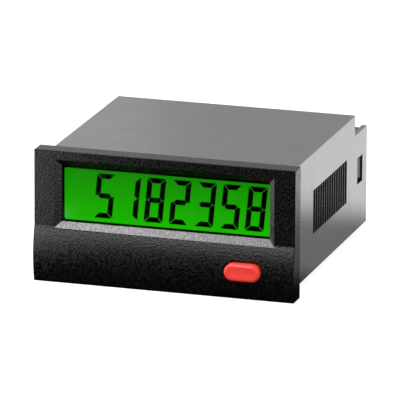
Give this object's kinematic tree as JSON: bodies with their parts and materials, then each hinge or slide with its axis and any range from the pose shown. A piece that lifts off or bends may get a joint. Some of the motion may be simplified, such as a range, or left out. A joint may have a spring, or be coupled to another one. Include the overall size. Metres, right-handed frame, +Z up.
{
  "type": "panel counter",
  "caption": "Electronic pulse counter for panel mounting: flat bezel with a backlit digital display and a push button, ratchet-sided housing and a rear row of screw terminals.",
  "frame": {"origin": "bottom centre of the overall box: below the middle of the length, on the surface that the counter stands on", "axes": "+Y from the face back to the terminals, which is also the way that the counter goes into its panel; +X to the right across the face; +Z up"},
  "size_m": [0.048, 0.0534, 0.024],
  "materials": {
    "case_plastic": "smooth moulded plastic, satin",
    "bezel_plastic": "fine spark-eroded grain",
    "black_plastic": "moulded plastic, satin",
    "natural_nylon": "moulded nylon",
    "red_plastic": "moulded plastic, soft gloss",
    "clear_plastic": "clear moulded plastic",
    "display_glass": "liquid-crystal glass, lit green from behind",
    "green_resin": "clear green resin",
    "black_rubber": "silicone rubber",
    "board_laminate": "glass-fibre laminate with green solder mask",
    "plated_steel": "nickel plated",
    "tinned_brass": "tinned brass",
    "can_aluminium": "drawn can, satin"
  },
  "bodies": {
    "case": {"front_bezel": "bezel_plastic", "display_window": "clear_plastic", "display_mask": "black_plastic", "lcd_cell": "display_glass", "light_guide": "clear_plastic", "backlight_led_1": "green_resin", "backlight_led_2": "green_resin", "backlight_led_3": "green_resin", "backlight_led_4": "green_resin", "zebra_strip": "black_rubber", "display_board": "board_laminate", "button_seal": "black_rubber", "switch_body": "black_plastic", "main_board": "board_laminate", "link_header": "black_plastic", "housing": "case_plastic", "rear_cover": "black_plastic", "terminal_block": "black_plastic", "terminal_screw_1": "plated_steel", "terminal_screw_2": "plated_steel", "terminal_screw_3": "plated_steel", "terminal_screw_4": "plated_steel", "terminal_screw_5": "plated_steel", "terminal_screw_6": "plated_steel", "terminal_screw_7": "plated_steel", "terminal_screw_8": "plated_steel", "terminal_clamp_1": "tinned_brass", "terminal_clamp_2": "tinned_brass", "terminal_clamp_3": "tinned_brass", "terminal_clamp_4": "tinned_brass", "terminal_clamp_5": "tinned_brass", "terminal_clamp_6": "tinned_brass", "terminal_clamp_7": "tinned_brass", "terminal_clamp_8": "tinned_brass", "lithium_cell": "plated_steel", "cell_tab_top": "plated_steel", "cell_tab_bottom": "plated_steel", "microcontroller": "black_plastic", "crystal": "plated_steel", "capacitor": "can_aluminium", "regulator": "black_plastic", "optocoupler_1": "black_plastic", "optocoupler_2": "black_plastic"},
    "reset_key": {"reset_button": "red_plastic", "switch_plunger": "natural_nylon"}
  },
  "joints": [
    {"name": "reset_press", "type": "slide", "parent": "case", "child": "reset_key", "axis": [0, 1, 0], "range_m": [0, 0.0006], "stiffness_N_per_m": 200}
  ]
}
